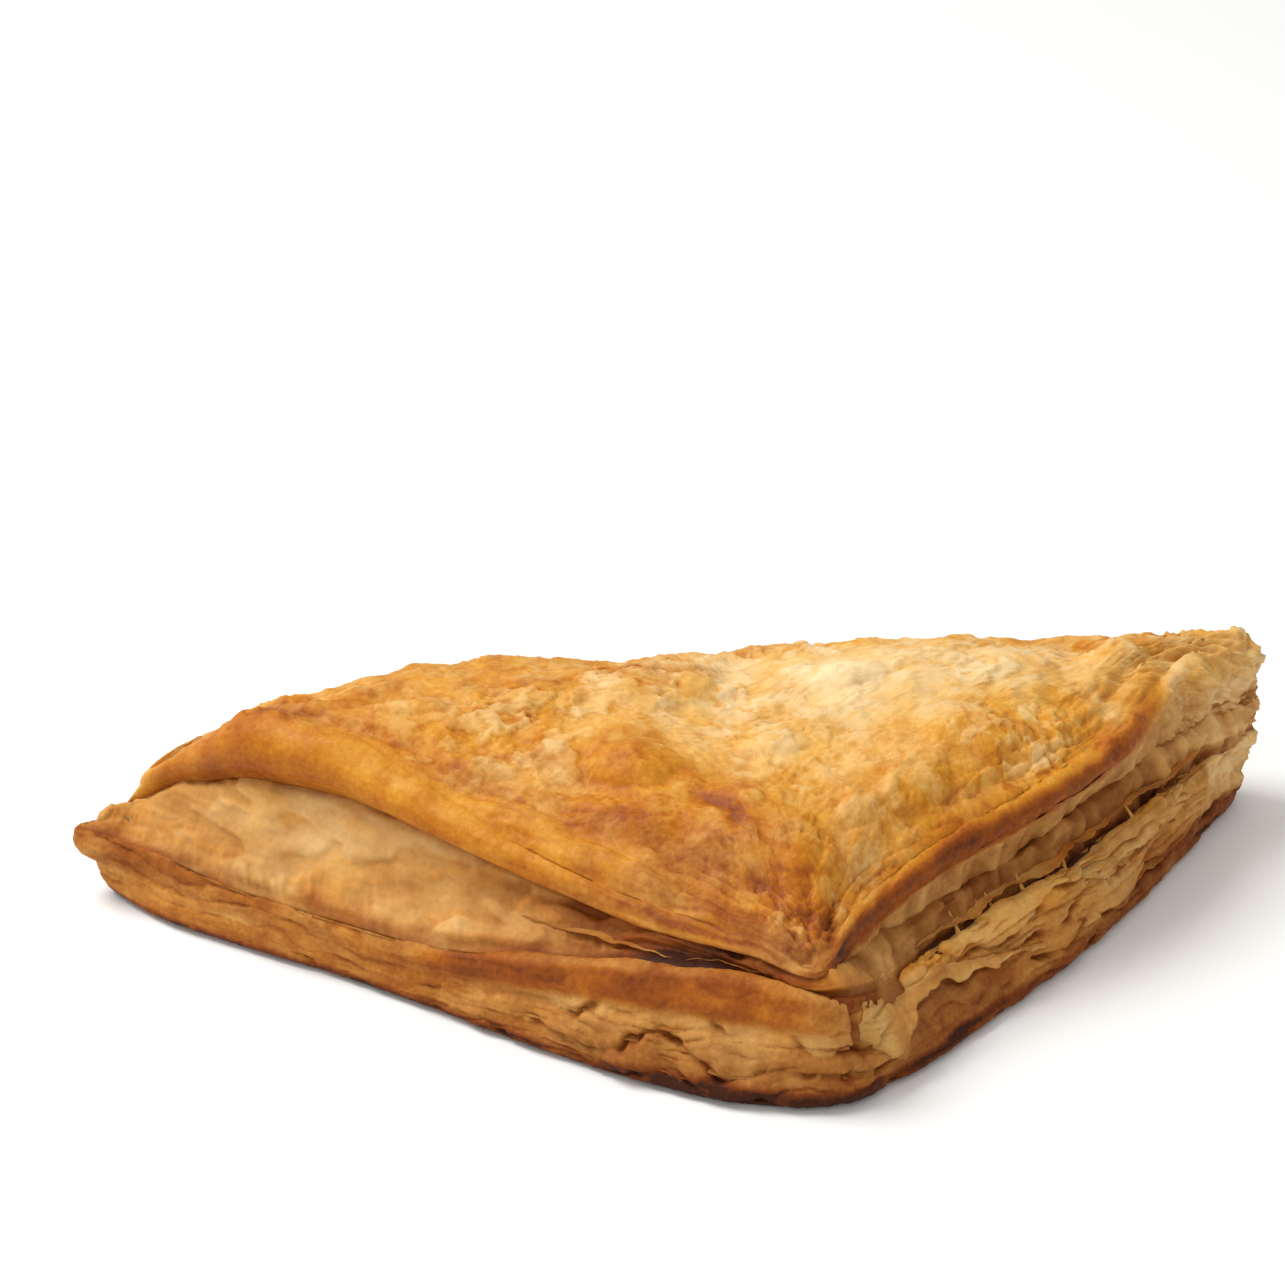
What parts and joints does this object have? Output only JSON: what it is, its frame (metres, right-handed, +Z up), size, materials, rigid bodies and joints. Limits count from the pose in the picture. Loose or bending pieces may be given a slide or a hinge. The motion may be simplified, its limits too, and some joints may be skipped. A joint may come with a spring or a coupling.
{
  "type": "turnover pastry",
  "caption": "Triangular turnover of folded puff pastry, with a domed browned top, a rounded fold and two layered cut edges.",
  "frame": {"origin": "centre of the footprint, on the plane that the turnover rests on", "axes": "+X along the fold from the thin left tip to the thick right tip, +Y from the apex towards the fold, +Z up"},
  "size_m": [0.1676, 0.0772, 0.0328],
  "materials": {
    "pastry": "matt, slightly greasy, browned unevenly from cream to dark golden brown"
  },
  "bodies": {
    "root": {"pastry": "pastry"}
  },
  "joints": []
}
